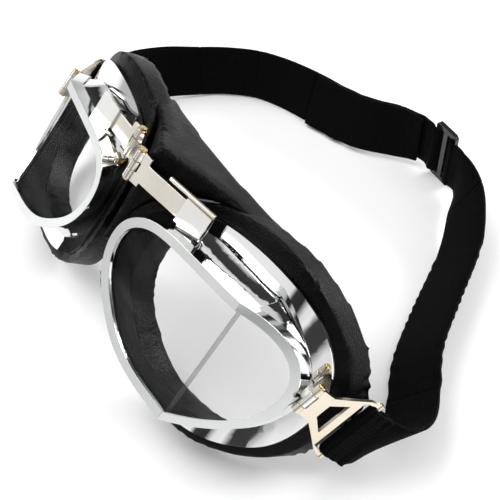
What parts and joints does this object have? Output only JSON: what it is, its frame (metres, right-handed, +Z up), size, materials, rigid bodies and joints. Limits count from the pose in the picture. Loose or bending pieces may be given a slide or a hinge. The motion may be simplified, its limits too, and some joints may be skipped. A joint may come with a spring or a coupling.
{
  "type": "motorcycle goggles",
  "caption": "Retro riding goggles: two chrome cups with angled split lenses on a sliding hinged nose bridge, leather cushions and an adjustable woven strap on swinging hooks.",
  "frame": {"origin": "bottom centre of the whole object's box, as it lies with its strap standing on edge", "axes": "+X to the wearer's left-hand side of the pictured pair (the sleeve side), +Y from the lenses back to the strap, +Z up from the surface it lies on"},
  "size_m": [0.2352, 0.1804, 0.0868],
  "materials": {
    "cup_chrome": "mirror plated",
    "rim_chrome": "bright plated",
    "lens_glass": "clear polished",
    "lens_seam": "thin cement line",
    "black_rubber": "matt",
    "cushion_foam": "soft foam",
    "cushion_lining": "soft brushed cloth",
    "black_leather": "semi-gloss grained",
    "brass_pin": "worn",
    "pale_nickel": "satin plated",
    "warm_nickel": "satin plated",
    "hook_nickel": "satin champagne plating",
    "strap_web": "flat woven elastic",
    "slider_black": "gloss lacquer"
  },
  "bodies": {
    "right_eyepiece": {"cup_right": "cup_chrome", "lens_rim_right": "rim_chrome", "lens_outer_pane_right": "lens_glass", "lens_inner_pane_right": "lens_glass", "lens_seam_strip_right": "lens_seam", "lens_gasket_right": "black_rubber", "cushion_leather_right": "black_leather", "cushion_foam_right": "cushion_foam", "cushion_lining_right": "cushion_lining", "cushion_nose_piece": "black_leather", "bridge_sleeve_right": "pale_nickel", "bridge_guide_rail": "warm_nickel", "hook_lug_right": "pale_nickel", "hook_pin_right": "brass_pin", "strap_right": "strap_web", "strap_back": "strap_web", "strap_tail": "strap_web"},
    "bridge_bar": {"bridge_bar": "warm_nickel", "bridge_pin_right": "brass_pin"},
    "bridge_link": {"bridge_link": "warm_nickel"},
    "left_eyepiece": {"cup_left": "cup_chrome", "lens_rim_left": "rim_chrome", "lens_outer_pane_left": "lens_glass", "lens_inner_pane_left": "lens_glass", "lens_seam_strip_left": "lens_seam", "lens_gasket_left": "black_rubber", "cushion_leather_left": "black_leather", "cushion_foam_left": "cushion_foam", "cushion_lining_left": "cushion_lining", "bridge_sleeve_left": "pale_nickel", "bridge_tongue": "warm_nickel", "bridge_pin_left": "brass_pin", "hook_lug_left": "pale_nickel", "hook_pin_left": "brass_pin", "strap_left": "strap_web"},
    "left_hook": {"strap_hook_left": "hook_nickel", "strap_hook_loop_left": "strap_web"},
    "right_hook": {"strap_hook_right": "hook_nickel", "strap_hook_loop_right": "strap_web"},
    "strap_slider": {"strap_slider": "slider_black", "strap_weave": "strap_web"}
  },
  "joints": [
    {"name": "bridge_slide", "type": "slide", "parent": "right_eyepiece", "child": "bridge_bar", "axis": [0.9397, 0.2673, -0.2134], "range_m": [-0.003, 0.003], "deforming": ["cushion_nose_piece", "strap_back", "strap_tail"]},
    {"name": "bridge_right_hinge", "type": "hinge", "parent": "bridge_bar", "child": "bridge_link", "pos_m": [-0.00103, -0.06107, 0.07571], "axis": [0, 0.6239, 0.7815], "range_deg": [-10, 5]},
    {"name": "bridge_left_hinge", "type": "hinge", "parent": "bridge_link", "child": "left_eyepiece", "pos_m": [-0.01663, -0.05341, 0.0696], "axis": [0, 0.6239, 0.7815], "range_deg": [-8, 5], "deforming": ["strap_left"]},
    {"name": "left_hook_hinge", "type": "hinge", "parent": "left_eyepiece", "child": "left_hook", "pos_m": [-0.09203, -0.04506, 0.04463], "axis": [-0.1185, 0.7645, 0.6337], "range_deg": [-6, 40]},
    {"name": "right_hook_hinge", "type": "hinge", "parent": "right_eyepiece", "child": "right_hook", "pos_m": [0.09516, -0.04506, 0.04463], "axis": [0.1185, 0.7645, 0.6337], "range_deg": [-40, 6], "deforming": ["strap_right"]},
    {"name": "slider_slide", "type": "slide", "parent": "right_eyepiece", "child": "strap_slider", "axis": [1, 0, 0], "range_m": [-0.004, 0.004], "deforming": ["strap_weave"]}
  ]
}
